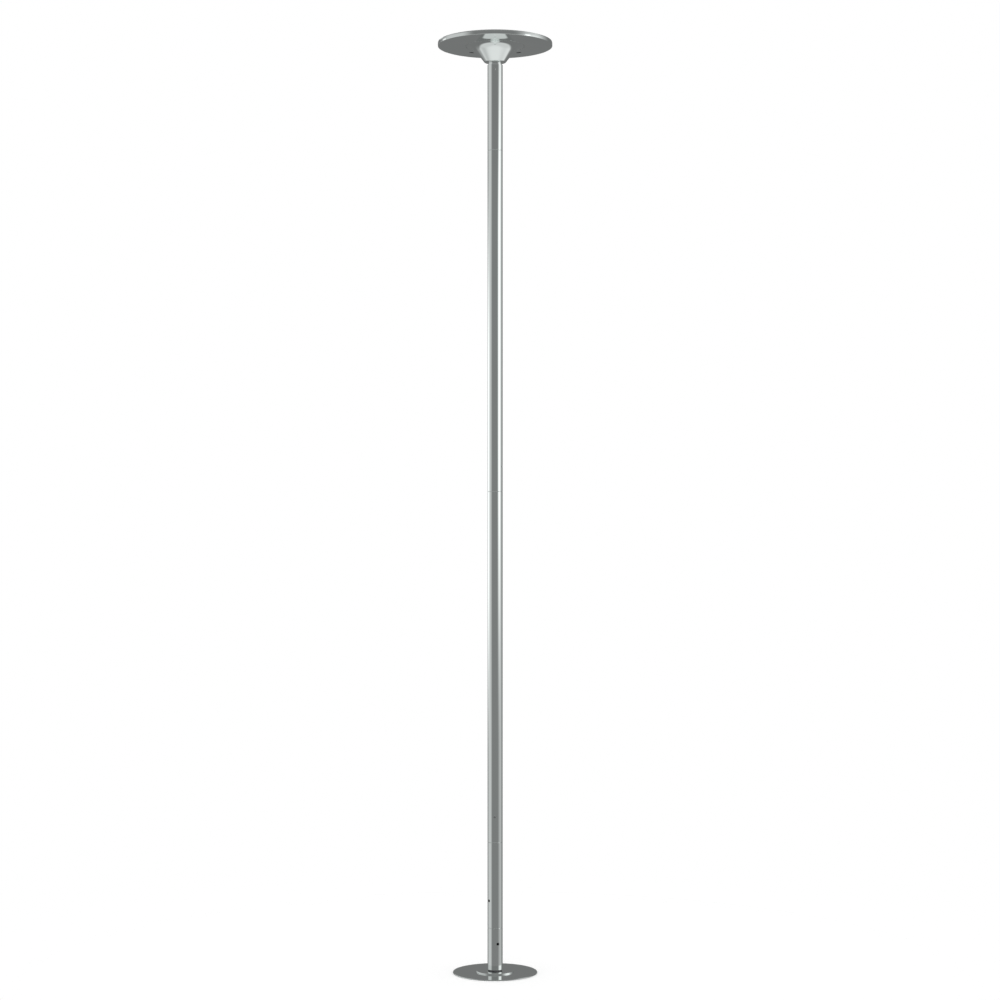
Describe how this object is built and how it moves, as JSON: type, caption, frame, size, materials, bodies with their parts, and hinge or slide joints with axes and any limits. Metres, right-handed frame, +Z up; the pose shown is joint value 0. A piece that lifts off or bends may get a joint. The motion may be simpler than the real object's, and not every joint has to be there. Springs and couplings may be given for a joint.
{
  "type": "dance pole",
  "caption": "Floor-to-ceiling spinning dance pole: round base, jointed chrome tube with a screw height adjuster, bearings at both ends, cone cup and round ceiling plate.",
  "frame": {"origin": "centre of the underside of the base, on the floor", "axes": "+Z up along the pole, +X to the right and -Y to the front as seen in the picture"},
  "size_m": [0.34, 0.34, 2.764],
  "materials": {
    "chrome_tube": "polished mirror chrome on steel tube",
    "chrome_disc": "polished mirror chrome on pressed steel",
    "turned_steel": "bright turned steel",
    "bearing_steel": "ground and polished bearing steel",
    "black_steel": "black oxide steel",
    "cage_brass": "machined brass",
    "rubber": "matt black anti-slip rubber",
    "nylon": "natural nylon"
  },
  "bodies": {
    "base": {"base_pad": "rubber", "base_plate": "chrome_disc", "base_bolt": "black_steel", "base_post": "turned_steel", "post_seal": "rubber", "base_bearing_a_inner": "bearing_steel", "base_bearing_b_inner": "bearing_steel", "base_spacer": "turned_steel", "post_circlip": "black_steel"},
    "base_cages": {"base_bearing_a_cage": "cage_brass", "base_bearing_b_cage": "cage_brass"},
    "hub": {"hub_housing": "turned_steel", "base_bearing_a_outer": "bearing_steel", "base_bearing_b_outer": "bearing_steel", "hub_washer": "nylon"},
    "adjuster": {"foot_tube": "chrome_tube", "foot_block": "turned_steel", "jack_screw": "turned_steel"},
    "spin_lock": {"spin_lock_screw": "black_steel"},
    "pole": {"lower_extension_tube": "chrome_tube", "lower_main_tube": "chrome_tube", "upper_main_tube": "chrome_tube", "top_extension_tube": "chrome_tube", "jack_nut": "cage_brass", "joiner_lower": "turned_steel", "joiner_middle": "turned_steel", "joiner_upper": "turned_steel", "lock_screw_a": "black_steel", "lock_screw_b": "bearing_steel", "lock_screw_c": "bearing_steel", "lock_screw_d": "bearing_steel", "top_bearing_housing": "turned_steel", "housing_screw": "bearing_steel", "top_bearing_a_outer": "bearing_steel", "top_bearing_b_outer": "bearing_steel"},
    "top_cages": {"top_bearing_a_cage": "cage_brass", "top_bearing_b_cage": "cage_brass"},
    "dome": {"top_bearing_a_inner": "bearing_steel", "top_bearing_b_inner": "bearing_steel", "top_spacer": "turned_steel", "spindle_circlip": "black_steel", "top_spindle": "chrome_disc", "dome_cup": "chrome_disc", "spindle_washer": "turned_steel", "spindle_nut": "bearing_steel", "dome_plate": "chrome_disc", "ceiling_pad": "rubber"}
  },
  "joints": [
    {"name": "pole_spin", "type": "hinge", "parent": "base", "child": "hub", "pos_m": [0, 0, 0.02], "axis": [0, 0, 1], "continuous": true},
    {"name": "base_cage_spin", "type": "hinge", "parent": "base", "child": "base_cages", "pos_m": [0, 0, 0.02], "axis": [0, 0, 1], "continuous": true},
    {"name": "adjuster_turn", "type": "hinge", "parent": "hub", "child": "adjuster", "pos_m": [0, 0, 0.08], "axis": [0, 0, -1], "range_deg": [0, 7206]},
    {"name": "height_adjust", "type": "slide", "parent": "hub", "child": "pole", "axis": [0, 0, 1], "range_m": [0, 0.12]},
    {"name": "spin_lock_slide", "type": "slide", "parent": "adjuster", "child": "spin_lock", "axis": [-0.3746, 0.9272, 0], "range_m": [0, 0.0021]},
    {"name": "dome_swivel", "type": "hinge", "parent": "pole", "child": "dome", "pos_m": [0, 0, 2.66], "axis": [0, 0, 1], "continuous": true},
    {"name": "top_cage_spin", "type": "hinge", "parent": "pole", "child": "top_cages", "pos_m": [0, 0, 2.66], "axis": [0, 0, 1], "continuous": true}
  ],
  "couplings": [
    {"joint": "adjuster_turn", "follows": "height_adjust", "rad_per_m": 1047.2},
    {"joint": "dome_swivel", "follows": "pole_spin", "ratio": -1},
    {"joint": "base_cage_spin", "follows": "pole_spin", "ratio": 0.586},
    {"joint": "top_cage_spin", "follows": "pole_spin", "ratio": -0.414}
  ]
}
